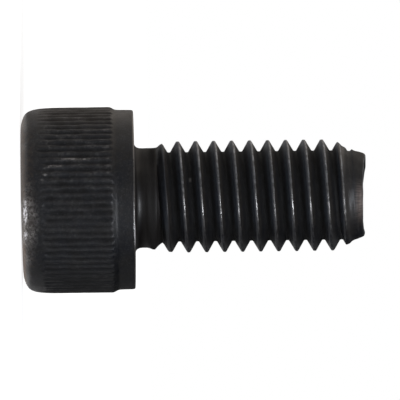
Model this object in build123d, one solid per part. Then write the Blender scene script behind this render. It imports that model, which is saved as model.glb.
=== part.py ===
from build123d import *

import os
from math import ceil, cos, radians, sin, tan

# Hexagon socket head cap screw, M8 x 16, coarse right-hand thread, with a knurled head.
# It is forged, knurled and thread-rolled in one piece, so it is one solid.
# Frame: millimetres. The origin is the centre of the bearing face under the head, +Z runs
# along the shank to the tip, and the head hangs below z = 0.

# ---- driving dimensions: head -------------------------------------------------------------

HEAD_HEIGHT = 7.80  # bearing face to head end
HEAD_EDGE_RADIUS = 1.00  # rounding at the head end
HEAD_EDGE_RELIEF = 0.08  # how far that rounding's side lies below the rib crests
KNURL_DIAMETER = 12.90  # over the rib crests
KNURL_RIBS = 79
KNURL_DEPTH = 0.13  # rib crest to groove bottom
KNURL_GROOVE_ANGLE = 100.0  # included angle of one groove
KNURL_RUN_OUT_ANGLE = 25.0  # slope of the ribs' and the grooves' ends above the rounding
COLLAR_RELIEF = 0.215  # how far the smooth collar under the ribs lies below their crests
COLLAR_LENGTH = 0.90
COLLAR_EDGE_CHAMFER = 0.08  # at the bearing face
STEP_ANGLE = 22.0  # slope of the cone from the collar up to the ribs
STEP_FILLET = 0.60  # where that cone meets the collar

# ---- driving dimensions: drive socket -----------------------------------------------------

SOCKET_ACROSS_FLATS = 6.06
SOCKET_DEPTH = 4.20  # of the full hexagon
SOCKET_MOUTH_MARGIN = 0.15  # how far the cone that leads a key in reaches past the corners
SOCKET_MOUTH_ANGLE = 120.0
SOCKET_FLOOR_ANGLE = 150.0  # of the shallow cone under the hexagon

# ---- driving dimensions: shank and thread -------------------------------------------------

SHANK_LENGTH = 16.15  # bearing face to tip
NECK_RELIEF = 0.42  # how far the plain neck lies below the thread crests
UNDER_HEAD_BLEND_WIDTH = 0.50  # of the parabolic fillet, along the bearing face
UNDER_HEAD_BLEND_LENGTH = 0.60  # of the same, along the neck
THREAD_PITCH = 1.25
THREAD_DIAMETER = 7.76  # over the crests
THREAD_FLANK_ANGLE = 60.0
THREAD_CREST_WIDTH = 0.15
THREAD_ROOT_WIDTH = 0.20
THREAD_PHASE = 174.0  # degrees about Z at which a groove passes the bearing face's plane
CREST_RUN_IN_START = 0.85  # where the crest leaves the neck, from the bearing face
CREST_RUN_IN_LENGTH = 2.00
ROOT_RUN_IN_START = 1.45  # where the root starts to sink below the neck
ROOT_RUN_IN_LENGTH = 0.45

# ---- driving dimensions: tip --------------------------------------------------------------

TIP_LEAD_LENGTH = 0.95  # cone that cuts the last crests down
TIP_LEAD_RELIEF = 0.61  # how far that cone ends below the thread crests
TIP_CHAMFER_LENGTH = 1.25
TIP_CHAMFER_WIDTH = 0.44  # of the end chamfer, seen along the axis
TIP_RIM_WIDTH = 0.22  # flat rim round the dished end
TIP_DISH_DEPTH = 0.20
TIP_DISH_SLOPE_WIDTH = 0.55

# ---- values that follow from them ---------------------------------------------------------

OVERRUN = 0.5  # how far a cutting body passes beyond what it cuts
BURIED = 0.06  # how far one body lies inside another that it joins

knurl_r = KNURL_DIAMETER / 2
edge_r = knurl_r - HEAD_EDGE_RELIEF
collar_r = knurl_r - COLLAR_RELIEF
socket_corner_r = SOCKET_ACROSS_FLATS / 2 / cos(radians(30))
crest_r = THREAD_DIAMETER / 2
neck_r = crest_r - NECK_RELIEF
flank_slope = tan(radians(THREAD_FLANK_ANGLE / 2))
thread_depth = (THREAD_PITCH - THREAD_CREST_WIDTH - THREAD_ROOT_WIDTH) / 2 / flank_slope
root_r = crest_r - thread_depth
lead_end_r = crest_r - TIP_LEAD_RELIEF
tip_face_r = lead_end_r - TIP_CHAMFER_WIDTH
head_end_z = -HEAD_HEIGHT


def turned(outline):
    """Revolve a closed outline, drawn as radius and height, about the screw's axis."""
    return revolve(make_face(Plane.XZ * outline), Axis.Z)


def head_blank():
    """The forged head: end rounding, rib diameter, filleted step and collar."""
    run_out = radians(KNURL_RUN_OUT_ANGLE)
    end_edge = (edge_r - HEAD_EDGE_RADIUS, head_end_z)
    side_edge = (edge_r, head_end_z + HEAD_EDGE_RADIUS)
    rib_start = (knurl_r, side_edge[1] + HEAD_EDGE_RELIEF / tan(run_out))

    step = radians(STEP_ANGLE)
    fillet_end = (collar_r, -COLLAR_LENGTH)
    fillet_start = (
        collar_r + STEP_FILLET * (1 - cos(step)),
        -COLLAR_LENGTH - STEP_FILLET * sin(step),
    )
    rib_end = (knurl_r, fillet_start[1] - (knurl_r - fillet_start[0]) / tan(step))
    collar_edge = (collar_r, -COLLAR_EDGE_CHAMFER)
    face_edge = (collar_r - COLLAR_EDGE_CHAMFER, 0)

    outline = Curve() + [
        Line((0, head_end_z), end_edge),
        TangentArc(end_edge, side_edge, tangent=(1, 0)),
        Polyline(side_edge, rib_start, rib_end, fillet_start),
        TangentArc(fillet_end, fillet_start, tangent=(0, -1)),
        Polyline(fillet_end, collar_edge, face_edge, (0, 0), (0, head_end_z)),
    ]
    return turned(outline)


def knurl_grooves():
    """One V groove per rib, open into the collar step and closed by a slope at the rounding."""
    run_out = radians(KNURL_RUN_OUT_ANGLE)
    groove_r = knurl_r - KNURL_DEPTH
    height = KNURL_DEPTH + OVERRUN
    half_width = height * tan(radians(KNURL_GROOVE_ANGLE / 2))
    bottom_z = head_end_z + HEAD_EDGE_RADIUS + KNURL_DEPTH / tan(run_out)
    start_z = bottom_z - height / tan(run_out)
    vee = Polygon(
        (groove_r, 0),
        (groove_r + height, -half_width),
        (groove_r + height, half_width),
        align=None,
    )
    groove = extrude(Pos(0, 0, start_z) * vee, amount=-COLLAR_LENGTH - start_z)
    slope = Plane((groove_r, 0, bottom_z), x_dir=(0, 1, 0), z_dir=(sin(run_out), 0, cos(run_out)))
    groove = split(groove, bisect_by=slope, keep=Keep.TOP)
    return [Rot(0, 0, 360 * rib / KNURL_RIBS) * groove for rib in range(KNURL_RIBS)]


def drive_socket():
    """The hexagonal hole for the key, with its lead-in cone and its shallow conical floor."""
    mouth_r = socket_corner_r + SOCKET_MOUTH_MARGIN
    mouth_point = (0, head_end_z + mouth_r / tan(radians(SOCKET_MOUTH_ANGLE / 2)))
    mouth = turned(Polyline((0, head_end_z), (mouth_r, head_end_z), mouth_point, close=True))

    hexagon = RegularPolygon(SOCKET_ACROSS_FLATS / 2, 6, major_radius=False)
    hole = extrude(Pos(0, 0, head_end_z) * hexagon, amount=SOCKET_DEPTH)

    floor_z = head_end_z + SOCKET_DEPTH
    floor_r = SOCKET_ACROSS_FLATS / 2
    floor_point = (0, floor_z + floor_r / tan(radians(SOCKET_FLOOR_ANGLE / 2)))
    floor = turned(Polyline((0, floor_z), (floor_r, floor_z), floor_point, close=True))
    return mouth + hole + floor


def neck():
    """Under-head fillet, plain neck and the cone by which the thread root leaves the neck."""
    fillet_corner = (neck_r, 0)
    fillet_start = (neck_r + UNDER_HEAD_BLEND_WIDTH, 0)
    fillet_end = (neck_r, UNDER_HEAD_BLEND_LENGTH)
    sunk_r = root_r - BURIED
    sunk_z = ROOT_RUN_IN_START + ROOT_RUN_IN_LENGTH
    end_z = CREST_RUN_IN_START + CREST_RUN_IN_LENGTH

    outline = Curve() + [
        Polyline((0, -OVERRUN), (fillet_start[0], -OVERRUN), fillet_start),
        Bezier(fillet_start, fillet_corner, fillet_end),
        Polyline(fillet_end, (neck_r, ROOT_RUN_IN_START), (sunk_r, sunk_z), (sunk_r, end_z), (0, end_z)),
        Line((0, end_z), (0, -OVERRUN)),
    ]
    return turned(outline)


def thread_blank():
    """The outline that bounds the crests: run-in cone, full thread, lead cone, chamfer, dish."""
    chamfer_z = SHANK_LENGTH - TIP_CHAMFER_LENGTH
    rim_r = tip_face_r - TIP_RIM_WIDTH
    dish_z = SHANK_LENGTH - TIP_DISH_DEPTH

    outline = Polyline(
        (0, CREST_RUN_IN_START),
        (neck_r - BURIED, CREST_RUN_IN_START),
        (crest_r, CREST_RUN_IN_START + CREST_RUN_IN_LENGTH),
        (crest_r, chamfer_z - TIP_LEAD_LENGTH),
        (lead_end_r, chamfer_z),
        (tip_face_r, SHANK_LENGTH),
        (rim_r, SHANK_LENGTH),
        (rim_r - TIP_DISH_SLOPE_WIDTH, dish_z),
        (0, dish_z),
        close=True,
    )
    return turned(outline)


def thread_grooves():
    """The helical groove between the crests, as one solid for each turn."""
    clear = THREAD_CREST_WIDTH / 4 / flank_slope  # the groove's mouth lies this far outside
    root_half = THREAD_ROOT_WIDTH / 2
    outer_half = (THREAD_PITCH - THREAD_CREST_WIDTH) / 2 + clear * flank_slope
    first_z = -THREAD_PITCH
    turns = ceil((SHANK_LENGTH - first_z) / THREAD_PITCH) + 1

    helix = Helix(THREAD_PITCH, THREAD_PITCH, root_r)
    section = Plane(helix @ 0, x_dir=(1, 0, 0), z_dir=helix % 0) * Polygon(
        (0, -root_half),
        (thread_depth + clear, -outer_half),
        (thread_depth + clear, outer_half),
        (0, root_half),
        align=None,
    )
    turn = Rot(0, 0, THREAD_PHASE) * sweep(section, path=helix, is_frenet=True)
    return [Pos(0, 0, first_z + index * THREAD_PITCH) * turn for index in range(turns)]


def cap_screw():
    head = head_blank() - knurl_grooves() - drive_socket()
    threaded = thread_blank() - thread_grooves()
    return head + neck() + threaded


os.makedirs("parts", exist_ok=True)
export_step(cap_screw(), "parts/cap_screw.step")
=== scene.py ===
import math
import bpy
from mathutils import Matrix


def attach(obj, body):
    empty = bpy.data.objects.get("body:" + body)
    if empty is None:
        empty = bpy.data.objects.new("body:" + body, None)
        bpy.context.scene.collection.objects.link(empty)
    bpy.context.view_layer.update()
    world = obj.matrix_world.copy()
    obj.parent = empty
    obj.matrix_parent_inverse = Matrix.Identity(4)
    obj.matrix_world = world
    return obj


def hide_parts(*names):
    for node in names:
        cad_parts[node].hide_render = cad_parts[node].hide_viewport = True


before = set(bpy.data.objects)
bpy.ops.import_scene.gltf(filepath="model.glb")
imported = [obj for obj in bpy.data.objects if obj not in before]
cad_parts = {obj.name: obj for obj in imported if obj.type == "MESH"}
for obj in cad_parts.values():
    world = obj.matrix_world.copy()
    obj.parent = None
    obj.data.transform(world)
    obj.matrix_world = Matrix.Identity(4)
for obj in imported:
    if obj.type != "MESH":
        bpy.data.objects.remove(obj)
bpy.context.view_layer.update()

from types import SimpleNamespace

import bmesh
import bpy
import numpy as np
from mathutils import Matrix, Vector

# The screw stands on its head with +Z up, and Z = 0 is the bearing face. Shapes below are in
# millimetres and are scaled to metres when the mesh is made. Angles about Z start at +X, and the
# camera looks along +Y.

MM = 0.001
rng = np.random.default_rng(8125)


# ---- helpers ------------------------------------------------------------------------------


def smooth_step(value, low, high):
    share = np.clip((value - low) / (high - low), 0.0, 1.0)
    return share * share * (3 - 2 * share)


def plateau(value, rise_from, rise_to, fall_from, fall_to):
    """0, then 1 between rise_to and fall_from, then 0 again."""
    return smooth_step(value, rise_from, rise_to) * (1 - smooth_step(value, fall_from, fall_to))


def hump(value, centre, width):
    """1 at the centre, falling off on both sides as a bell curve."""
    return np.exp(-(((value - centre) / width) ** 2))


def smooth_min(a, b, width):
    share = np.clip(0.5 + 0.5 * (b - a) / width, 0.0, 1.0)
    return b * (1 - share) + a * share - width * share * (1 - share)


def smooth_max(a, b, width):
    return -smooth_min(-a, -b, width)


def curve_through(stations, values):
    """A smooth function through the given points that doesn't overshoot them."""
    x = np.asarray(stations, float)
    y = np.asarray(values, float)
    step = np.diff(x)
    slope = np.diff(y) / step
    tangent = np.zeros_like(y)
    tangent[0], tangent[-1] = slope[0], slope[-1]
    for i in range(1, len(x) - 1):
        if slope[i - 1] * slope[i] > 0:
            a = 2 * step[i] + step[i - 1]
            b = step[i] + 2 * step[i - 1]
            tangent[i] = (a + b) / (a / slope[i - 1] + b / slope[i])

    def value(at):
        at = np.clip(np.asarray(at, float), x[0], x[-1])
        i = np.clip(np.searchsorted(x, at, side="right") - 1, 0, len(x) - 2)
        h = step[i]
        s = (at - x[i]) / h
        return (
            (1 + 2 * s) * (1 - s) ** 2 * y[i]
            + s * (1 - s) ** 2 * h * tangent[i]
            + s * s * (3 - 2 * s) * y[i + 1]
            + s * s * (s - 1) * h * tangent[i + 1]
        )

    return value


def ripple(angle, seed, lowest, highest):
    """Smooth periodic noise round the axis, about -1 to 1, from cosines of whole frequencies."""
    source = np.random.default_rng(seed)
    total = np.zeros_like(np.asarray(angle, float))
    weight = 0.0
    for frequency in range(lowest, highest + 1):
        size = source.uniform(0.4, 1.0)
        total = total + size * np.cos(frequency * angle + source.uniform(0, 2 * math.pi))
        weight += size * size
    return total / math.sqrt(weight)


def even_angles(count):
    return np.arange(count) * 2 * math.pi / count


# ---- sizes --------------------------------------------------------------------------------

HEAD_END = -7.80
TIP = 16.15

KNURL_R = 6.45
RIBS = 79
RIB_DEPTH = 0.115
RIB_HALF_WIDTH = 0.185
GROOVE_ROUND = 0.05
RIB_BLEND = 0.045
RUN_OUT_SLOPE = 0.28
RUN_OUT_START = -6.25
STEP = -1.68
# Where the grid's columns stand on each rib, as shares of the way to the next groove.
RIB_SHARES = (0.0, 0.18, 0.33, 0.40, 0.5, 0.60, 0.67, 0.82)
COLUMNS = RIBS * len(RIB_SHARES)

SOCKET_HALF_FLATS = 3.03
SOCKET_COLUMNS = 96
SOCKET_FLOOR = -3.60
SOCKET_POINT = 0.81
MOUTH_MARGIN = 0.15
MOUTH_EDGE = 0.02
MOUTH_HALF_ANGLE = math.radians(60)

NECK_R = 3.46
FILLET_R = 3.96
FILLET_HEIGHT = 0.60

PITCH = 1.25
# The angle, in degrees, at which the crests are at odd half pitches from the bearing face.
PHASE = 174.0
HALF_FLANK = math.radians(30)
# The apex is the radius where the flanks would meet if the crest weren't rounded.
CREST_APEX = 4.012
CREST_ROUND = 0.12
ROOT_ROUND = 0.135
RIDGE = 0.11
FIRST_TURN, LAST_TURN = -2, 14
TURN_COLUMNS = 160
CUT_LOW = 0.80
CUT_HIGH = 15.55

# The shank stands a little off the head's axis, along X.
NECK_SHIFT = -0.097
THREAD_SHIFT = -0.139


# ---- the mesh's points and faces ----------------------------------------------------------

points = []
wear = []
cavity = []
faces = []


def add_point(x, y, z, worn=0.0, deep=0.0):
    points.append((x, y, z))
    wear.append(worn)
    cavity.append(deep)
    return len(points) - 1


def add_ring(radius, z, angles, worn=0.0, deep=0.0, shift=0.0):
    """Points round the axis; radius, z, worn and deep are single values or one for each angle."""
    radius, z, worn, deep = (np.broadcast_to(v, len(angles)) for v in (radius, z, worn, deep))
    return [
        add_point(r * math.cos(a) + shift, r * math.sin(a), h, w, d)
        for r, h, a, w, d in zip(radius, z, angles, worn, deep)
    ]


def join_rings(low, high):
    """Quads between two rings of as many points."""
    count = len(low)
    for i in range(count):
        j = (i + 1) % count
        faces.append((low[i], low[j], high[j], high[i]))


def next_ring(ring, *place, **settings):
    """A new ring, as add_ring makes it, joined to the one before."""
    following = add_ring(*place, **settings)
    join_rings(ring, following)
    return following


def zip_rings(low, high):
    """Triangles between two rings of different numbers of points, sorted by angle."""

    def by_angle(ring):
        found = sorted((math.atan2(points[v][1], points[v][0]) % (2 * math.pi), v) for v in ring)
        return found + [(found[0][0] + 2 * math.pi, found[0][1])]

    a, b = by_angle(low), by_angle(high)
    i = j = 0
    while i < len(a) - 1 or j < len(b) - 1:
        if j == len(b) - 1 or (i < len(a) - 1 and a[i + 1][0] <= b[j + 1][0]):
            faces.append((a[i][1], a[i + 1][1], b[j][1]))
            i += 1
        else:
            faces.append((a[i][1], b[j + 1][1], b[j][1]))
            j += 1


def close_ring(ring, centre):
    """Triangles from a ring to the point in its middle."""
    count = len(ring)
    for i in range(count):
        faces.append((ring[i], ring[(i + 1) % count], centre))


def ring_angles(ring, shift):
    return np.array([math.atan2(points[v][1], points[v][0] - shift) % (2 * math.pi) for v in ring])


def sort_ring(ring, shift):
    return [ring[i] for i in np.argsort(ring_angles(ring, shift))]


# ---- head ---------------------------------------------------------------------------------

# The head's radius without its grooves, by height.
head_outline = curve_through(
    (-7.80, -7.77, -7.73, -7.66, -7.59, -7.45, -7.31, -7.14, -6.90, -6.48, -6.06, -5.40, -4.00,
     -1.68, -1.56, -1.47, -1.39, -1.32, -1.25, -1.18, -1.11, -1.02, -0.90, -0.80, -0.50, -0.20),
    (4.95, 5.28, 5.46, 5.68, 5.84, 6.04, 6.155, 6.24, 6.315, 6.385, 6.42, 6.445, 6.45,
     6.45, 6.445, 6.427, 6.393, 6.354, 6.314, 6.281, 6.261, 6.250, 6.245, 6.241, 6.236, 6.228),
)

# The collar's worn upper edge and the bearing face: radius, height and wear.
COLLAR_EDGE = (
    (6.224, -0.130, 0.2), (6.214, -0.085, 0.8), (6.192, -0.045, 1.0), (6.160, -0.016, 1.0),
    (6.120, -0.002, 0.6), (6.080, 0.0, 0.0), (5.9, 0.0, 0.0), (4.70, 0.0, 0.0),
)

# Bright rubs along the ribs, partly wear and partly painted highlight: degrees about Z, first and
# last height, strength.
STROKES = (
    (232.0, -4.7, -2.9, 0.55), (237.4, -3.4, -2.0, 0.35), (243.5, -5.0, -2.9, 0.9),
    (241.5, -3.2, -2.4, 0.5), (248.0, -5.9, -4.9, 0.9), (249.8, -6.2, -5.4, 1.0),
    (254.0, -6.25, -5.9, 0.9), (236.0, -2.3, -1.7, 0.6), (229.0, -2.3, -1.7, 0.6),
    (257.0, -6.5, -6.1, 0.5), (222.0, -3.6, -1.8, 0.3), (263.0, -2.9, -2.6, 0.5),
)
STROKE_WIDTH = 0.11

# How worn the ribs are between the strokes, where along the head that starts and stops, and how
# far below the outline a groove counts as fully cut.
RIB_WEAR = 0.5
RIB_WEAR_SPAN = (-6.9, -6.2, -1.6, -1.2)
FULL_CUT = 0.10


def head_rows():
    """Heights of the head's rings, close together on the rounding and on the step."""
    rows = [-7.80, -7.785, -7.77, -7.75, -7.73, -7.695, -7.66, -7.625, -7.59, -7.52, -7.45]
    rows += [-7.38, -7.31, -7.22, -7.14, -7.02, -6.90]
    rows += list(np.arange(-6.80, -5.59, 0.10))
    rows += list(np.arange(-5.42, -1.95, 0.21))
    rows += list(np.arange(-1.85, -0.99, 0.045))
    rows += [-0.92, -0.80, -0.60, -0.40, -0.25, -0.17]
    return rows


def stroke_wear_and_highlight(angles, z):
    total = np.zeros(len(angles))
    for degrees, low, high, strength in STROKES:
        along = plateau(z, low - 0.15, low + 0.25, high - 0.25, high + 0.15)
        if along > 0:
            away = (angles - math.radians(degrees)) * KNURL_R
            total += strength * along * hump(away, 0.0, STROKE_WIDTH)
    return total


def build_head():
    """Rings from the head's end to the bearing face. Returns the first and the last ring."""
    rib_angle = 2 * math.pi / RIBS
    rib = np.repeat(np.arange(RIBS), len(RIB_SHARES))
    share = np.tile(RIB_SHARES, RIBS)
    angles = (rib + share) * rib_angle
    nearest = np.minimum(share, 1 - share) * rib_angle * KNURL_R
    groove_rib = np.where(share > 0.5, (rib + 1) % RIBS, rib)
    towards = np.cos(np.arange(RIBS) * rib_angle)

    # Each groove has its own depth and start, and some ribs on the -X side have a pale worn spot at
    # the step that is partly painted highlight.
    depth = RIB_DEPTH * (1 + 0.14 * rng.standard_normal(RIBS)).clip(0.7, 1.2)
    start = RUN_OUT_START + 0.22 * towards + 0.09 * rng.standard_normal(RIBS)
    dot = rng.uniform(-0.5, 1.0, RIBS).clip(0, 1) * smooth_step(-towards, 0.0, 0.35)
    waves = rng.uniform(0, 2 * math.pi, (2, RIBS))
    slope = RIB_DEPTH / RIB_HALF_WIDTH
    side = np.sqrt(nearest**2 + GROOVE_ROUND**2) * slope

    first = ring = None
    for z in head_rows():
        outline = float(head_outline(z))
        uneven = 0.95 + 0.14 * np.sin(1.9 * z + waves[0]) + 0.11 * np.sin(4.7 * z + waves[1])
        run_out = np.maximum(0.0, start - z) * RUN_OUT_SLOPE
        shallow = 1 - 0.10 * smooth_step(z, -2.10, -1.40)
        bottom = KNURL_R - depth * uneven * shallow + run_out
        groove = bottom[groove_rib] + side - GROOVE_ROUND * slope
        radius = smooth_min(groove, np.full(COLUMNS, outline), RIB_BLEND)
        cut = np.clip((outline - radius) / FULL_CUT, 0, 1)
        worn = (1 - cut) * plateau(z, *RIB_WEAR_SPAN) * RIB_WEAR
        worn = worn + (1 - cut) * hump(z, STEP, 0.14) * RIB_WEAR * dot[rib]
        worn = worn + np.where(cut < 0.6, 1, 0.2) * stroke_wear_and_highlight(angles, z)
        if ring is None:
            first = ring = add_ring(radius, z, angles, worn, cut)
        else:
            ring = next_ring(ring, radius, z, angles, worn, cut)
    for radius, z, worn in COLLAR_EDGE:
        ring = next_ring(ring, radius, z, angles, worn)
    return first, ring


def build_socket(rim):
    """The end face, the lead-in cone, the hexagon and its conical floor, inside the rim ring."""
    angles = even_angles(SOCKET_COLUMNS)
    from_flat = (np.degrees(angles) % 60 - 30) * math.pi / 180
    hexagon = SOCKET_HALF_FLATS / np.cos(from_flat)
    mouth = SOCKET_HALF_FLATS / math.cos(math.radians(30)) + MOUTH_MARGIN
    edge = HEAD_END + MOUTH_EDGE
    face_ring = add_ring(mouth + 0.12, HEAD_END, angles)
    zip_rings(face_ring, rim)
    rings = [
        face_ring,
        add_ring(mouth + 0.03, HEAD_END + 0.004, angles, 0.5),
        add_ring(mouth, edge, angles, 0.6),
    ]
    meet = edge + (mouth - hexagon) / math.tan(MOUTH_HALF_ANGLE)
    for share in (0.5, 1.0):
        radius = mouth + (hexagon - mouth) * share
        rings.append(add_ring(radius, edge + (meet - edge) * share, angles, 0.3))
    for z in (-7.2, -6.0, -4.8, -3.75, SOCKET_FLOOR):
        rings.append(add_ring(hexagon, z, angles, 0.0, 0.5))
    for share in (0.94, 0.6, 0.25):
        height = SOCKET_FLOOR + SOCKET_POINT * (1 - share)
        rings.append(add_ring(hexagon * share, height, angles, 0.0, 0.7))
    for low, high in zip(rings, rings[1:]):
        join_rings(high, low)
    centre = add_point(0, 0, SOCKET_FLOOR + SOCKET_POINT, 0.0, 0.7)
    close_ring(rings[-1][::-1], centre)


# ---- thread -------------------------------------------------------------------------------

# The crest's radius where the thread fades in after the neck, by the height of the crest.
run_in = curve_through(
    (0.60, 0.96, 1.27, 1.90, 2.52, 3.15, 3.80),
    (3.46, 3.475, 3.60, 3.71, 3.82, 3.86, 3.885),
)
# The end chamfer's radius, by height.
tip_cone = curve_through(
    (13.55, 13.90, 14.22, 14.60, 14.85, 15.26, 15.60, 16.20),
    (3.885, 3.78, 3.60, 3.425, 3.325, 3.165, 3.03, 2.81),
)
# The root's radius, by height: the neck's until the thread is cut to its full depth.
root_limit = curve_through(
    (0.80, 1.50, 1.60, 1.68, 1.80, 1.96, 2.20, 2.60, 15.0, 16.2),
    (3.46, 3.46, 3.445, 3.39, 3.28, 3.18, 3.12, 3.098, 3.095, 3.0),
)


# The worn line along the crest: how far its middle is above the crest and how far it drops on
# the last turn, and its half width below and above its middle.
CREST_LINE = 0.055
CREST_LINE_DROP = 0.14
CREST_LINE_BELOW, CREST_LINE_ABOVE = 0.094, 0.078


def crest_limit(offset, z):
    """Highest radius at a place, from its distance to the crest and how near the tip it is."""
    crest = z - offset
    ramp = smooth_step(offset, -0.32, 0.14)
    ramp = ramp + (1 - ramp) * smooth_step(crest, 1.95, 2.6)
    ridge = plateau(offset, -0.60, -0.42, -0.10, 0.20)
    ridge = RIDGE * ridge * (1 - smooth_step(z, 15.05, 15.35))
    return np.minimum(NECK_R + (run_in(crest) - NECK_R) * ramp, tip_cone(z) + ridge)


def thread_radius(offset, z, angle):
    """Radius at an axial offset from the crest, and how worn and how deep that place is."""
    away = np.abs(offset)
    slope = 1 / math.tan(HALF_FLANK)
    flank = CREST_APEX - away * slope
    crest_reach = CREST_ROUND * math.cos(HALF_FLANK)
    crest = CREST_APEX - 2 * CREST_ROUND + np.sqrt(np.maximum(CREST_ROUND**2 - away**2, 0))
    from_root = PITCH / 2 - away
    root_reach = ROOT_ROUND * math.cos(HALF_FLANK)
    sharp_root = CREST_APEX - PITCH / 2 * slope
    root = sharp_root + 2 * ROOT_ROUND - np.sqrt(np.maximum(ROOT_ROUND**2 - from_root**2, 0))
    radius = np.where(away < crest_reach, crest, np.where(from_root < root_reach, root, flank))

    # Small nicks on the crest, and the seam that rolling leaves along its middle.
    turn = 2 * math.pi * z / PITCH
    nicks = 0.006 * ripple(angle + turn * 0.37, seed=3, lowest=5, highest=19)
    nicks = nicks + 0.004 * ripple(angle - turn, seed=4, lowest=23, highest=41)
    seam = 0.006 + 0.03 * smooth_step(z, 11.8, 13.6)
    seam_line = 0.012 * ripple(angle + 0.61 * turn, seed=6, lowest=2, highest=7)
    radius = radius + hump(away, 0.0, 0.12) * nicks - seam * hump(offset, seam_line, 0.035)

    top = crest_limit(offset, z)
    radius = smooth_min(radius, top, 0.07)
    radius = smooth_max(radius, root_limit(z), 0.06)

    middle = CREST_LINE - CREST_LINE_DROP * smooth_step(z, 14.2, 14.5)
    middle = middle + 0.020 * ripple(angle + turn, seed=7, lowest=9, highest=23)
    width = np.where(offset < middle, CREST_LINE_BELOW, CREST_LINE_ABOVE)
    worn = hump(offset, middle, width) * smooth_step(z, 2.3, 3.2)
    worn = worn * (1 - 0.55 * smooth_step(z, 14.6, 15.0))
    deep = smooth_step(top - radius, 0.15, 0.75)
    first_groove = smooth_step(3.42 - radius, 0.0, 0.18) * (1 - smooth_step(z, 2.6, 3.2))
    deep = np.maximum(deep, first_groove)
    keep = smooth_step(z, CUT_LOW - 0.02, CUT_LOW + 0.25)
    return NECK_R * (1 - keep) + radius * keep, worn, deep


def build_thread():
    """The threaded surface as a sheared grid that follows the helix, cut level at both ends."""
    crest_steps = (0.0, 0.045, 0.09, 0.135)
    flank_steps = (0.21, 0.31, 0.41, 0.50)
    root_steps = (0.545, 0.585)
    half = crest_steps + flank_steps + root_steps
    steps = np.array(sorted([-v for v in half[1:]] + list(half) + [PITCH / 2]))
    turns = range(FIRST_TURN, LAST_TURN)
    base = np.concatenate([n * PITCH + PITCH / 2 + steps for n in turns])
    offset = np.tile(steps, len(turns))

    bm = bmesh.new()
    worn_layer = bm.verts.layers.float.new("worn")
    deep_layer = bm.verts.layers.float.new("deep")
    grid = []
    for angle in even_angles(TURN_COLUMNS):
        z = base + (math.degrees(angle) - PHASE) / 360 * PITCH
        radius, worn, deep = thread_radius(offset, z, angle)
        shift = NECK_SHIFT + (THREAD_SHIFT - NECK_SHIFT) * smooth_step(z, 1.0, 2.4)
        column = []
        for r, h, w, d, s in zip(radius, z, worn, deep, shift):
            vertex = bm.verts.new((r * math.cos(angle) + s, r * math.sin(angle), h))
            vertex[worn_layer] = w
            vertex[deep_layer] = d
            column.append(vertex)
        grid.append(column)
    for i in range(TURN_COLUMNS):
        # The last column meets the first one a turn further on.
        ahead = len(steps) if i == TURN_COLUMNS - 1 else 0
        here, beyond = grid[i], grid[(i + 1) % TURN_COLUMNS]
        for k in range(len(base) - 1 - ahead):
            j = k + ahead
            bm.faces.new((here[k], beyond[j], beyond[j + 1], here[k + 1]))
    for height, side in ((CUT_LOW, -1), (CUT_HIGH, 1)):
        bmesh.ops.bisect_plane(
            bm,
            geom=bm.verts[:] + bm.edges[:] + bm.faces[:],
            dist=1e-6,
            plane_co=(0, 0, height),
            plane_no=(0, 0, side),
            clear_outer=True,
        )
    loose = [v for v in bm.verts if not v.link_faces]
    bmesh.ops.delete(bm, geom=loose, context="VERTS")
    bm.verts.index_update()
    start = len(points)
    low, high = [], []
    for vertex in bm.verts:
        add_point(*vertex.co, vertex[worn_layer], vertex[deep_layer])
        for height, ring in ((CUT_LOW, low), (CUT_HIGH, high)):
            if abs(vertex.co.z - height) < 1e-4 and vertex.is_boundary:
                ring.append(start + vertex.index)
    for face in bm.faces:
        faces.append(tuple(start + v.index for v in face.verts))
    bm.free()
    return sort_ring(low, NECK_SHIFT), sort_ring(high, THREAD_SHIFT)


def build_neck(thread_ring, face_ring):
    """The plain neck and the fillet down to the bearing face."""
    angles = ring_angles(thread_ring, NECK_SHIFT)
    profile = [(NECK_R, 0.70), (NECK_R, 0.62)]
    for share in (0.15, 0.30, 0.42, 0.54, 0.66, 0.78, 0.90, 1.0):
        back = 1 - share
        radius = back * back * NECK_R + 2 * back * share * NECK_R + share * share * FILLET_R
        profile.append((radius, back * back * FILLET_HEIGHT))
    profile.append((4.10, 0.0))
    ring = thread_ring
    for radius, z in profile:
        following = add_ring(radius, z, angles, shift=NECK_SHIFT)
        join_rings(following, ring)
        ring = following
    zip_rings(face_ring, ring)


# ---- tip ----------------------------------------------------------------------------------

# The rolled lip's height, by the angle about Z in degrees: it bulges at two sides.
lip_curve = curve_through(
    (0, 20, 60, 100, 113, 125, 140, 165, 180,
     195, 218, 235, 260, 300, 311, 329, 345, 360),
    (16.03, 16.0, 15.93, 15.95, 16.0, 16.08, 16.148, 16.148, 16.13,
     16.09, 16.01, 15.965, 15.93, 15.92, 15.91, 15.955, 16.02, 16.03),
)

# The tip from the chamfer over the lip: radius, height from the lip's top, wear, and how much
# of the lip's dents it has.
LIP_OUTLINE = (
    (3.01, -0.34, 0.1, 0.0), (2.955, -0.20, 0.2, 0.3), (2.90, -0.105, 0.4, 0.7),
    (2.86, -0.055, 0.6, 1.0), (2.80, -0.020, 0.8, 1.0), (2.73, -0.003, 0.9, 1.0),
    (2.66, 0.0, 0.8, 1.0), (2.58, -0.015, 0.5, 1.0), (2.50, -0.050, 0.2, 1.0),
    (2.38, -0.11, 0.0, 1.0), (2.22, -0.17, 0.0, 0.7),
)
# The dished end inside the lip: radius and height.
DISH = ((2.0, 15.80), (1.5, 15.765), (0.8, 15.75))
DISH_CENTRE = 15.745
DISH_DEPTH = 0.2


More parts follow.
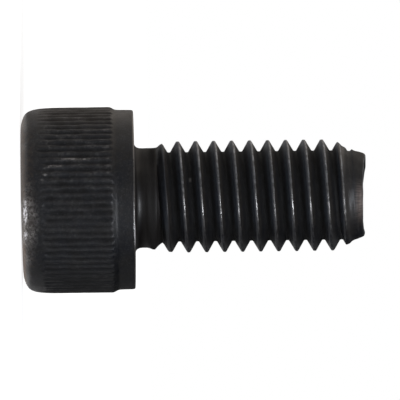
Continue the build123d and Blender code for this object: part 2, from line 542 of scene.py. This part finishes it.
def build_tip(thread_ring):
    """The end chamfer, the wavy lip and the dished end."""
    angles = ring_angles(thread_ring, THREAD_SHIFT)
    lip = lip_curve(np.degrees(angles) % 360)
    lip = lip + 0.008 * ripple(angles, seed=11, lowest=6, highest=17)
    lip = np.minimum(lip, TIP - 0.002)
    dent = 0.012 * ripple(angles, seed=12, lowest=4, highest=15)
    ring = thread_ring
    for radius, drop, worn, uneven in LIP_OUTLINE:
        radius = radius + dent * uneven
        ring = next_ring(ring, radius, lip + drop, angles, worn, shift=THREAD_SHIFT)
    for radius, z in DISH:
        ring = next_ring(ring, radius, z, angles, 0.0, DISH_DEPTH, THREAD_SHIFT)
    close_ring(ring, add_point(THREAD_SHIFT, 0, DISH_CENTRE, 0.0, DISH_DEPTH))


# ---- the whole screw ----------------------------------------------------------------------

# How far each height moves along the axis: the step and the thread sit a little lower than the
# profiles above say, and the bearing face a little higher.
settle = curve_through(
    (-7.80, -4.0, -2.0, -0.9, -0.20, 0.0, 0.40, 1.00, 15.4, 16.2),
    (0.0, -0.02, -0.042, -0.03, 0.045, 0.045, 0.0, -0.042, -0.042, -0.002),
)

# Slopes of the parts that aren't quite square to the axis, and how slim the end is at -X.
THREAD_LEAN = 0.0087
THREAD_RISE = 0.0125
EDGE_LEAN_Y = 0.0135
EDGE_LEAN_X = 0.004
STEP_LEAN = 0.010
END_LEAN = 0.014
END_SLIM = 0.016

SHARP_ANGLE = math.radians(50)


def lean(x, y, z):
    """How far each point moves along the axis because its part of the screw leans."""
    on_thread = plateau(z, 1.5, 3.0, 14.9, 15.5)
    on_edge = plateau(z, -0.9, -0.2, 0.3, 0.9)
    on_step = plateau(z, -2.6, -1.8, -1.0, -0.5)
    on_end = 1 - smooth_step(z, -7.7, -6.6)
    return (
        on_thread * (THREAD_RISE + THREAD_LEAN * x)
        + on_edge * (EDGE_LEAN_X * np.minimum(x, 0) - EDGE_LEAN_Y * y)
        + on_step * STEP_LEAN * x
        + on_end * END_LEAN * np.maximum(x, 0)
    )


def make_screw():
    end_ring, face_ring = build_head()
    build_socket(end_ring)
    low, high = build_thread()
    build_neck(low, face_ring)
    build_tip(high)
    x, y, z = np.array(points).T
    z = z + settle(z) + lean(x, y, z)
    x = x * (1 - END_SLIM * smooth_step(z, 13.9, 14.7) * (x < 0))
    mesh = bpy.data.meshes.new("cap_screw_detail")
    mesh.from_pydata(np.stack((x, y, z), axis=1) * MM, [], faces)
    mesh.validate()
    for name, values in (("worn", wear), ("deep", cavity)):
        layer = mesh.attributes.new(name, "FLOAT", "POINT")
        layer.data.foreach_set("value", np.asarray(values, np.float32))
    bm = bmesh.new()
    bm.from_mesh(mesh)
    bmesh.ops.recalc_face_normals(bm, faces=bm.faces[:])
    bm.to_mesh(mesh)
    bm.free()
    mesh.shade_smooth()
    mesh.set_sharp_from_angle(angle=SHARP_ANGLE)
    screw = bpy.data.objects.new("cap_screw_detail", mesh)
    bpy.context.scene.collection.objects.link(screw)
    return screw


# ---- node trees ---------------------------------------------------------------------------


class Graph:
    """Short calls for building a node tree."""

    def __init__(self, tree):
        self.tree = tree
        tree.nodes.clear()

    def node(self, kind, **settings):
        made = self.tree.nodes.new(kind)
        for name, value in settings.items():
            setattr(made, name, value)
        return made

    def feed(self, socket, value):
        if isinstance(value, bpy.types.NodeSocket):
            self.tree.links.new(value, socket)
        else:
            socket.default_value = value

    def math(self, operation, *values):
        """A Math node, or a chain of them where there are more than two values."""
        total = values[0]
        for value in values[1:]:
            made = self.node("ShaderNodeMath", operation=operation)
            self.feed(made.inputs[0], total)
            self.feed(made.inputs[1], value)
            total = made.outputs[0]
        return total

    def product(self, *values):
        return self.math("MULTIPLY", *values)

    def total(self, *values):
        return self.math("ADD", *values)

    def highest(self, *values):
        return self.math("MAXIMUM", *values)

    def inverse(self, value):
        return self.math("SUBTRACT", 1.0, value)

    def ramp(self, value, low, high, to_low=0.0, to_high=1.0):
        """A smooth step from to_low, where value is low, to to_high, where it is high."""
        made = self.node("ShaderNodeMapRange", interpolation_type="SMOOTHSTEP")
        self.feed(made.inputs["Value"], value)
        made.inputs["From Min"].default_value = low
        made.inputs["From Max"].default_value = high
        made.inputs["To Min"].default_value = to_low
        made.inputs["To Max"].default_value = to_high
        return made.outputs["Result"]

    def bell(self, value, centre, half_width):
        """1 at the centre, falling smoothly to 0 at half_width from it."""
        made = self.node("ShaderNodeMath", operation="ABSOLUTE")
        self.feed(made.inputs[0], self.math("SUBTRACT", value, centre))
        return self.ramp(made.outputs[0], 0.0, half_width, 1.0, 0.0)

    def noise(self, vector, scale, detail=3.0, roughness=0.55, distortion=0.0):
        made = self.node("ShaderNodeTexNoise")
        self.feed(made.inputs["Vector"], vector)
        made.inputs["Scale"].default_value = scale
        made.inputs["Detail"].default_value = detail
        made.inputs["Roughness"].default_value = roughness
        made.inputs["Distortion"].default_value = distortion
        return made.outputs["Fac"]

    def mix(self, share, a, b):
        made = self.node("ShaderNodeMix", data_type="RGBA")
        self.feed(made.inputs["Factor"], share)
        self.feed(made.inputs["A"], a)
        self.feed(made.inputs["B"], b)
        return made.outputs["Result"]

    def coat(self, below, colour, *masks):
        """The colour below with another colour over it, as far as all the masks let it."""
        return self.mix(self.product(*masks), below, colour)

    def scaled(self, vector, scale):
        made = self.node("ShaderNodeVectorMath", operation="MULTIPLY")
        self.feed(made.inputs[0], vector)
        made.inputs[1].default_value = scale
        return made.outputs["Vector"]

    def length(self, vector):
        made = self.node("ShaderNodeVectorMath", operation="LENGTH")
        self.feed(made.inputs[0], vector)
        return made.outputs["Value"]

    def combined(self, x, y, z):
        made = self.node("ShaderNodeCombineXYZ")
        for socket, value in zip(made.inputs, (x, y, z)):
            self.feed(socket, value)
        return made.outputs[0]

    def split(self, vector):
        made = self.node("ShaderNodeSeparateXYZ")
        self.feed(made.inputs[0], vector)
        return made.outputs

    def attribute(self, name):
        return self.node("ShaderNodeAttribute", attribute_name=name).outputs["Fac"]


# ---- the screw's finish -------------------------------------------------------------------

WHITE = (1.0, 1.0, 1.0, 1.0)

# The oxide itself, and darker copies of it painted as shade.
BLUE_BLACK = (0.0024, 0.0039, 0.0082, 1.0)
BROWN_BLACK = (0.0054, 0.0046, 0.0045, 1.0)
WARM_BLACK = (0.0080, 0.0069, 0.0064, 1.0)
ROOT_PAINTED_SHADE = (0.0020, 0.0020, 0.0022, 1.0)
GROOVE_PAINTED_SHADE = (0.0016, 0.0022, 0.0032, 1.0)
NECK_PAINTED_SHADE = (0.0040, 0.0022, 0.0012, 1.0)
SHADE_BLACK = (0.0030, 0.0030, 0.0035, 1.0)
FACE_GREY = (0.016, 0.015, 0.015, 1.0)

# Thin films of dust and wear on it, and lighter tints painted as light on the fillet, the head's -X
# side, the flanks and the tip.
FLECK_GREY = (0.027, 0.027, 0.0285, 1.0)
GRAIN_GREY = (0.070, 0.070, 0.074, 1.0)
RIB_GREY = (0.034, 0.0365, 0.0415, 1.0)
FILLET_PAINTED_HIGHLIGHT = (0.055, 0.056, 0.060, 1.0)
ROUNDING_BROWN = (0.058, 0.035, 0.021, 1.0)
TOP_PAINTED_SHEEN = (0.060, 0.050, 0.042, 1.0)
RIM_BROWN = (0.14, 0.084, 0.048, 1.0)
RIM_RUST = (0.25, 0.125, 0.055, 1.0)
FLANK_PAINTED_BLUE = (0.047, 0.057, 0.074, 1.0)
FLANK_PAINTED_BROWN = (0.044, 0.039, 0.035, 1.0)
TIP_FILM = (0.035, 0.031, 0.029, 1.0)
TIP_GREY = (0.13, 0.135, 0.145, 1.0)
TIP_COPPER = (0.42, 0.33, 0.29, 1.0)
TIP_PAINTED_HIGHLIGHT = (0.26, 0.275, 0.30, 1.0)
SCUFF_FILM = (0.090, 0.076, 0.066, 1.0)

# Steel where the oxide is worn through, and painted tints and glints on it.
BARE_STEEL = (0.36, 0.345, 0.335, 1.0)
CREST_BLUE = (0.35, 0.39, 0.44, 1.0)
CREST_GREY = (0.33, 0.335, 0.335, 1.0)
CREST_GLINT = (0.60, 0.59, 0.585, 1.0)
BRIGHT_STEEL = (0.88, 0.87, 0.90, 1.0)


def find_places(g):
    """Where a point of the screw is, in mm, which way it faces, its wear and the shared noise."""
    s = SimpleNamespace()
    coordinates = g.node("ShaderNodeTexCoord")
    s.mm = g.scaled(coordinates.outputs["Object"], (1000.0, 1000.0, 1000.0))
    s.x, s.y, s.z = g.split(s.mm)
    s.around = g.math("ARCTAN2", s.y, s.x)
    s.upward = g.split(coordinates.outputs["Normal"])["Z"]
    s.worn = g.attribute("worn")
    s.deep = g.attribute("deep")

    # The photo's near side is -Y, and the side that is uppermost in it is -X.
    s.head = g.ramp(s.z, -0.02, 0.02, 1.0, 0.0)
    s.near = g.ramp(s.y, 0.0, -2.0)
    s.bearing_face = g.product(g.ramp(s.upward, 0.85, 0.98), g.ramp(s.z, 0.40, 0.20))
    s.above_face = g.ramp(s.z, 0.02, 0.15)
    s.neck = g.product(s.above_face, g.ramp(s.z, 1.7, 1.4))
    s.fillet = g.product(s.neck, g.bell(s.z, 0.36, 0.24))
    s.shank = g.ramp(s.z, 0.5, 0.8)
    s.upper = g.ramp(s.x, 1.0, -3.0, 0.30, 1.0)
    # The head's +X side, which is darkened below as painted shade.
    s.head_under = g.product(s.head, g.ramp(s.x, 3.9, 5.6))
    # The tip's -X side, which is darkened below as painted shade and kept free of the crest and
    # flank films.
    s.tip_top = g.product(g.ramp(s.z, 14.5, 14.8), g.ramp(s.x, -0.4, -1.8))

    s.grain = g.noise(s.mm, 9.0, 4.0, 0.7)
    s.fleck = g.noise(s.mm, 3.4, 3.0, 0.65, 0.3)
    s.mottle = g.noise(s.mm, 1.1, 4.0, 0.6, 0.4)
    return s


def oxide_skin(g, s):
    """The oxide's colour, with the films on the head, the neck and the tip, and painted shade and
    highlights.
    """
    skin = g.mix(g.ramp(s.mottle, 0.35, 0.70), BLUE_BLACK, BROWN_BLACK)
    skin = g.coat(skin, WARM_BLACK, g.ramp(g.noise(s.mm, 0.32, 2.0), 0.45, 0.72), 0.4)
    dusty = g.product(g.ramp(s.z, -1.2, -1.7, 0.75, 1.0), 0.6)
    skin = g.coat(skin, FLECK_GREY, g.ramp(s.fleck, 0.50, 0.70), dusty)
    skin = g.coat(skin, GRAIN_GREY, g.ramp(s.grain, 0.55, 0.66), dusty)
    # Painted shade: the thread's roots and the end's dish are darkened by how deep they lie.
    skin = g.coat(skin, ROOT_PAINTED_SHADE, s.deep, 0.7, g.ramp(s.z, 0.0, 0.3))
    knurl = g.product(s.head, g.ramp(s.z, -1.2, -1.7), g.ramp(s.z, -6.6, -6.2))
    # Painted shade in the knurl's grooves.
    skin = g.coat(skin, GROOVE_PAINTED_SHADE, s.deep, knurl, 0.3)
    skin = g.coat(skin, RIB_GREY, g.ramp(s.worn, 0.15, 0.45), knurl, 0.12)

    # The neck and the thread's first groove are darker, a painted shade, and the fillet's near side
    # has a painted highlight.
    skin = g.coat(skin, NECK_PAINTED_SHADE, s.above_face, g.ramp(s.z, 2.2, 1.9), 0.92)
    skin = g.coat(skin, FACE_GREY, s.bearing_face, 0.5)
    skin = g.coat(skin, FILLET_PAINTED_HIGHLIGHT, s.fillet, g.bell(s.x, 0.5, 2.6), s.near, 0.6)

    # The head's rounding has a thin brown film that is heavier towards the end face.
    rounding = g.product(g.ramp(s.z, -6.60, -7.35), s.head)
    patches = g.product(
        g.ramp(s.fleck, 0.38, 0.60, 0.20, 1.0), g.ramp(s.grain, 0.40, 0.60, 0.45, 1.0)
    )
    skin = g.coat(skin, ROUNDING_BROWN, rounding, patches, 0.75)
    # Painted light: the head's -X side is lighter and warmer.
    skin = g.coat(skin, TOP_PAINTED_SHEEN, s.head, g.ramp(s.x, -4.6, -6.1), 0.55)
    # Painted shade: the step's -X side and the head's +X side are darker.
    step_top = g.product(g.bell(s.z, -1.40, 0.50), g.ramp(s.x, -1.5, -4.0))
    skin = g.coat(skin, SHADE_BLACK, s.head, step_top, 0.7)
    skin = g.coat(skin, SHADE_BLACK, s.head_under, 0.65)
    rim = g.product(g.ramp(s.z, -7.40, -7.68), s.head, g.ramp(s.fleck, 0.25, 0.6, 0.5, 1.0))
    skin = g.coat(skin, g.mix(g.ramp(s.x, 1.0, 3.0), RIM_BROWN, RIM_RUST), rim, 0.8)

    # The end chamfer is rubbed along the axis and has a thin coppery film; the grey and coppery
    # patch on its near side is partly painted highlight.
    # Painted shade on the tip's -X side.
    skin = g.coat(skin, SHADE_BLACK, s.tip_top, 0.6)
    hatch_place = g.combined(g.product(s.around, 3.0), 0.0, g.product(s.z, 0.12))
    hatch = g.noise(hatch_place, 11.0, 3.0, 0.7)
    at_tip = g.product(g.ramp(s.z, 14.75, 15.35), g.ramp(s.upward, 0.92, 0.75))
    rubbed = g.product(at_tip, g.bell(s.x, 0.35, 1.9), s.near, g.ramp(hatch, 0.36, 0.62, 0.20, 1.0))
    skin = g.coat(skin, g.mix(g.ramp(s.z, 15.2, 15.7), TIP_GREY, TIP_COPPER), rubbed, 0.75)
    # Painted highlight: a pale spot on the chamfer's near side.
    spot = g.product(g.bell(s.z, 15.14, 0.20), g.bell(s.x, 0.05, 0.75), s.near)
    skin = g.coat(skin, TIP_PAINTED_HIGHLIGHT, spot, 0.9)
    streaks = g.product(g.ramp(hatch, 0.40, 0.66), g.ramp(s.x, -3.0, -0.5, 0.3, 1.0))
    return g.coat(skin, TIP_FILM, at_tip, streaks, 0.4)


def find_wear(g, s):
    """Where the oxide is rubbed or worn through, from 0 to 1 for each kind of wear, with painted
    highlights laid into some of them.
    """
    w = SimpleNamespace()

    # The thread: a line along each crest, partly painted highlight, a lighter film on the flanks
    # that is painted light, and one nick.
    crest_place = g.combined(g.product(s.around, 4.0), g.product(s.z, 0.8), 0.0)
    broken = g.ramp(g.noise(crest_place, 2.2, 4.0, 0.7), 0.40, 0.60, 0.20, 1.0)
    # The crest line fades out towards +X, so it is partly painted highlight.
    w.crest = g.product(
        g.ramp(s.worn, 0.50, 0.92), broken, s.shank, 0.75,
        g.ramp(s.x, 1.1, 2.4, 1.0, 0.12), g.inverse(g.product(s.tip_top, 0.5)),
    )
    w.flank = g.product(
        g.ramp(s.deep, 0.60, 0.05), g.ramp(s.z, 1.3, 2.6), g.ramp(s.z, 15.6, 14.9),
        g.ramp(s.fleck, 0.3, 0.7, 0.6, 1.0), g.inverse(g.product(s.tip_top, 0.85)),
        g.ramp(s.x, 1.4, 2.6, 1.0, 0.25),
    )
    w.nick = g.product(g.bell(s.z, 3.94, 0.13), g.bell(s.x, -1.30, 0.20), s.near, 0.7)

    # The head: rib crests in patches, more towards -X, where they are partly painted highlight;
    # rubs along the ribs, partly painted highlight; and the bearing face's edge.
    streak_place = g.combined(g.product(s.around, 3.0), g.product(s.z, 0.35), 0.0)
    streak = g.ramp(g.noise(streak_place, 9.0, 3.0, 0.6), 0.40, 0.66)
    rib_patch = g.ramp(g.noise(s.mm, 0.75, 3.0, 0.6, 0.8), 0.42, 0.66)
    w.rib = g.product(s.worn, rib_patch, streak, s.head, s.upper)
    w.rub = g.product(
        g.ramp(s.worn, 0.50, 1.15), g.ramp(s.fleck, 0.36, 0.58, 0.10, 0.75), s.head
    )
    w.edge = g.product(
        g.bell(s.z, 0.03, 0.14), g.ramp(s.worn, 0.3, 0.9), g.ramp(s.x, 0.3, 2.0, 0.8, 1.0)
    )

    # The head's rounding: a scuffed place with two scrapes in it, and fainter scuffs elsewhere.
    front = g.ramp(s.y, 0.0, -3.0)
    w.scuff_place = g.product(g.bell(s.z, -7.60, 1.35), g.bell(s.x, 1.45, 2.7), front, s.head)
    speckle = g.product(
        g.ramp(g.noise(s.mm, 5.5, 5.0, 0.75), 0.42, 0.58),
        g.ramp(g.noise(s.mm, 1.7, 3.0, 0.6), 0.33, 0.55, 0.35, 1.0),
    )
    scuff = g.product(g.ramp(w.scuff_place, 0.0, 0.50), speckle)
    scrape_place = g.highest(g.bell(s.x, 0.75, 1.15), g.product(g.bell(s.x, 2.40, 0.50), 0.85))
    scraped = g.product(
        g.ramp(g.noise(g.scaled(s.mm, (3.6, 3.6, 7.0)), 1.5, 4.0, 0.65), 0.36, 0.58),
        g.ramp(g.noise(s.mm, 6.5, 3.0, 0.6), 0.38, 0.56, 0.30, 1.0),
    )
    scrape = g.product(scrape_place, g.bell(s.z, -7.50, 0.24), front, scraped)
    w.scrape = g.ramp(scrape, 0.05, 0.45)
    elsewhere = g.ramp(g.noise(s.mm, 0.42, 2.0), 0.46, 0.62)
    elsewhere = g.product(g.bell(s.z, -7.40, 0.7), elsewhere, speckle, s.head, 0.7)
    w.scuff = g.highest(scuff, w.scrape, elsewhere)

    w.bare = g.highest(w.crest, g.product(w.rib, 0.5), w.rub, w.edge, w.nick, w.scuff)
    return w


def finish_colour(g, s, w):
    """The oxide's skin with the worn places over it, and painted tints, glints and highlights."""
    skin = oxide_skin(g, s)
    # Painted light: the flanks are lighter, blue where they face -Z and brown where they face +Z,
    # less so towards +X.
    flank_painted_tint = g.mix(g.ramp(s.upward, -0.5, 0.5), FLANK_PAINTED_BLUE, FLANK_PAINTED_BROWN)
    skin = g.coat(skin, flank_painted_tint, w.flank, 0.75)
    skin = g.coat(skin, SCUFF_FILM, g.ramp(w.scuff_place, 0.1, 0.6), 0.65)
    colour = g.coat(skin, BARE_STEEL, w.bare, 0.85)
    # Painted light: the crest line is tinted blue at -X and grey below, with a painted glint on its
    # near side.
    crest_painted_tint = g.mix(g.ramp(s.x, -2.2, 0.0), CREST_BLUE, CREST_GREY)
    colour = g.coat(colour, crest_painted_tint, w.crest, 0.8)
    colour = g.coat(colour, CREST_GLINT, w.crest, g.bell(s.x, 0.70, 1.25), s.near, 0.60)
    # Painted highlight: the worn bearing edge turns to bright steel around x = 2.4 mm.
    edge_painted_highlight = g.product(w.edge, g.bell(s.x, 2.40, 1.30), 1.1)
    bright = g.highest(
        w.scrape, g.ramp(edge_painted_highlight, 0.1, 0.5), g.ramp(w.rub, 0.35, 0.80, 0.0, 0.15)
    )
    return g.coat(colour, BRIGHT_STEEL, bright, 0.9)


def finish_roughness(g, s, w):
    """Uneven gloss on the oxide, dull in the grooves and smoother where it is worn."""
    skin = g.total(g.ramp(s.mottle, 0.3, 0.75, 0.36, 0.50), g.ramp(s.grain, 0.3, 0.8, -0.04, 0.08))
    polished_neck = g.product(
        s.neck, g.ramp(s.x, -2.9, -1.8, 0.20, -0.04), g.ramp(s.x, 2.0, 3.2, 1.0, -0.8)
    )
    return g.total(
        g.product(skin, g.inverse(s.neck)),
        g.product(s.neck, 0.48),
        polished_neck,
        g.product(s.fillet, -0.06),
        g.product(s.deep, 0.42),
        g.product(s.bearing_face, 0.40),
        g.product(s.head_under, g.bell(s.z, -0.5, 0.9), 0.25),
        g.product(g.bell(s.z, 1.32, 0.48), 0.32),
        g.product(s.tip_top, 0.20),
        g.product(w.bare, -0.06),
        g.product(w.edge, -0.15),
        g.product(g.ramp(s.worn, 0.30, 0.85), s.shank, -0.10),
    )


def finish_height(g, s, w):
    """Fine grain for the bump, almost none of it on the turned neck, cut away by scuffs."""
    grain = g.total(
        g.product(s.grain, 0.5),
        g.product(g.noise(s.mm, 45.0, 3.0), 0.2),
        g.product(s.fleck, 0.8),
        g.product(s.grain, s.head),
    )
    turned_place = g.combined(g.product(s.around, 0.35), 0.0, s.z)
    turned = g.noise(turned_place, 8.0, 3.0, 0.7)
    return g.total(
        g.product(grain, g.inverse(g.product(s.neck, 0.95))),
        g.product(turned, s.neck, 0.03),
        g.product(w.scuff, -2.2),
    )


def oxide_steel():
    """Black-oxide steel: a near-black skin, browner and scuffed at edges, worn at crests, with
    painted shade and highlights.
    """
    material = bpy.data.materials.new("black_oxide_steel_detail")
    material.use_nodes = True
    g = Graph(material.node_tree)
    s = find_places(g)
    w = find_wear(g, s)

    bump = g.node("ShaderNodeBump")
    bump.inputs["Strength"].default_value = 0.6
    bump.inputs["Distance"].default_value = 0.000022
    g.feed(bump.inputs["Height"], finish_height(g, s, w))

    # The upper crests keep part of the oxide, so their bright lines stay soft and unbroken.
    upper_crest = g.ramp(g.product(w.crest, s.upper), 0.1, 0.5, 1.0, 0.65)
    shader = g.node("ShaderNodeBsdfPrincipled")
    g.feed(shader.inputs["Base Color"], finish_colour(g, s, w))
    g.feed(shader.inputs["Roughness"], finish_roughness(g, s, w))
    g.feed(shader.inputs["Metallic"], g.product(g.ramp(w.bare, 0.05, 0.60, 0.0, 0.95), upper_crest))
    g.feed(shader.inputs["Normal"], bump.outputs["Normal"])
    shader.inputs["IOR"].default_value = 1.55
    output = g.node("ShaderNodeOutputMaterial")
    g.feed(output.inputs["Surface"], shader.outputs[0])
    return material


# ---- stage, light and camera, in metres ---------------------------------------------------

SCREW_MIDDLE = Vector((0, 0, 0.004))


def floor_material():
    """Pale floor: plain white to the camera, with the screw's shadow, and dim in its gloss but for
    a painted reflection: a bright ring under the head's rounding and a lighter side towards -X.
    """
    material = bpy.data.materials.new("studio_floor")
    material.use_nodes = True
    g = Graph(material.node_tree)
    path = g.node("ShaderNodeLightPath")
    place = g.node("ShaderNodeTexCoord").outputs["Object"]
    from_axis = g.length(g.scaled(place, (1.0, 1.0, 0.0)))
    # Painted reflection: in gloss the floor glows bright just round the head's end, and lighter
    # towards -X.
    mirrored = g.highest(
        g.ramp(g.split(place)["X"], -0.07, -0.005, 0.18, 0.02),
        g.ramp(from_axis, 0.0060, 0.0068, 0.9, 0.0),
        g.ramp(from_axis, 0.011, 0.022, 0.075, 0.02),
    )
    seen = g.highest(
        path.outputs["Is Camera Ray"],
        path.outputs["Is Transmission Ray"],
        g.product(path.outputs["Is Glossy Ray"], mirrored),
    )
    diffuse = g.node("ShaderNodeBsdfDiffuse")
    diffuse.inputs["Color"].default_value = (0.80, 0.80, 0.80, 1.0)
    glow = g.node("ShaderNodeEmission")
    glow.inputs["Color"].default_value = WHITE
    g.feed(glow.inputs["Strength"], g.product(seen, g.ramp(g.length(place), 0.05, 0.45, 0.72, 1.0)))
    both = g.node("ShaderNodeAddShader")
    g.feed(both.inputs[0], diffuse.outputs[0])
    g.feed(both.inputs[1], glow.outputs[0])
    output = g.node("ShaderNodeOutputMaterial")
    g.feed(output.inputs["Surface"], both.outputs[0])
    return material


def make_floor():
    """A square floor, just under the head's end."""
    half, gap = 3.0, 0.00002
    z = HEAD_END * MM - gap
    corners = [(-half, -half, z), (half, -half, z), (half, half, z), (-half, half, z)]
    mesh = bpy.data.meshes.new("floor")
    mesh.from_pydata(corners, [], [(0, 1, 2, 3)])
    mesh.materials.append(floor_material())
    floor = bpy.data.objects.new("floor", mesh)
    bpy.context.scene.collection.objects.link(floor)


def area_light(name, direction, distance, size, radiance, colour, gloss=1.0):
    """A square lamp that faces the screw from the given direction."""
    data = bpy.data.lights.new(name, "AREA")
    data.shape = "SQUARE"
    data.size = size
    data.energy = radiance * math.pi * size * size
    data.color = colour
    data.specular_factor = gloss
    light = bpy.data.objects.new(name, data)
    away = Vector(direction).normalized()
    light.location = away * distance + SCREW_MIDDLE
    light.rotation_mode = "QUATERNION"
    light.rotation_quaternion = away.to_track_quat("Z", "Y")
    light.visible_camera = False
    bpy.context.scene.collection.objects.link(light)


def make_world():
    """White to the camera, and a dim room with a lighter side and ceiling to everything else."""
    world = bpy.data.worlds.new("studio")
    world.use_nodes = True
    g = Graph(world.node_tree)
    x, y, z = g.split(g.node("ShaderNodeTexCoord").outputs["Generated"])
    ceiling = g.product(
        g.ramp(z, 0.05, 0.6, 0.0, 0.14),
        g.ramp(x, -0.7, 0.1, 0.35, 1.0),
        g.ramp(x, 0.3, 0.9, 1.0, 0.6),
    )
    room = g.highest(g.total(0.04, g.product(x, -0.10), ceiling), 0.008)
    path = g.node("ShaderNodeLightPath")
    camera = g.highest(path.outputs["Is Camera Ray"], path.outputs["Is Transmission Ray"])
    tint = g.mix(g.ramp(x, -0.6, 0.5), (1.0, 0.95, 0.88, 1.0), (0.90, 0.96, 1.10, 1.0))
    tint = g.mix(g.ramp(z, 0.1, 0.6), tint, (0.97, 0.96, 0.955, 1.0))
    background = g.node("ShaderNodeBackground")
    g.feed(background.inputs["Strength"], g.highest(room, camera))
    g.feed(background.inputs["Color"], g.mix(camera, tint, WHITE))
    output = g.node("ShaderNodeOutputWorld")
    g.feed(output.inputs["Surface"], background.outputs[0])
    bpy.context.scene.world = world


def make_camera():
    """Level with the screw's middle, rolled so that +Z points right and a little up."""
    roll = math.radians(0.75)
    distance = 1.25
    view_width = 0.02778
    middle, drop = 0.004597, 0.000032
    right = Vector((math.sin(roll), 0, math.cos(roll)))
    up = Vector((-math.cos(roll), 0, math.sin(roll)))
    back = Vector((0, -1, 0))
    data = bpy.data.cameras.new("camera")
    data.sensor_width = 36.0
    data.lens = data.sensor_width * distance / view_width
    data.clip_start, data.clip_end = 0.05, 20.0
    camera = bpy.data.objects.new("camera", data)
    place = right * middle - up * drop + back * distance
    turned = Matrix((right, up, back)).transposed().to_4x4()
    camera.matrix_world = Matrix.Translation(place) @ turned
    bpy.context.scene.collection.objects.link(camera)
    bpy.context.scene.camera = camera


screw = make_screw()
screw.data.materials.append(oxide_steel())
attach(screw, "root")
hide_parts("cap_screw")

make_floor()
make_world()
area_light("key", (-1.0, 0.50, 0.25), 0.60, 1.1, 0.50, (1.0, 0.90, 0.80))
area_light("front", (0.31, -0.80, 0.58), 0.55, 0.20, 8.6, (0.95, 0.98, 1.04))
area_light("overhead", (0.0, 0.25, 1.0), 0.80, 0.9, 0.16, (1.0, 1.0, 1.0), 0.2)
make_camera()

bpy.context.scene.view_settings.view_transform = "Standard"
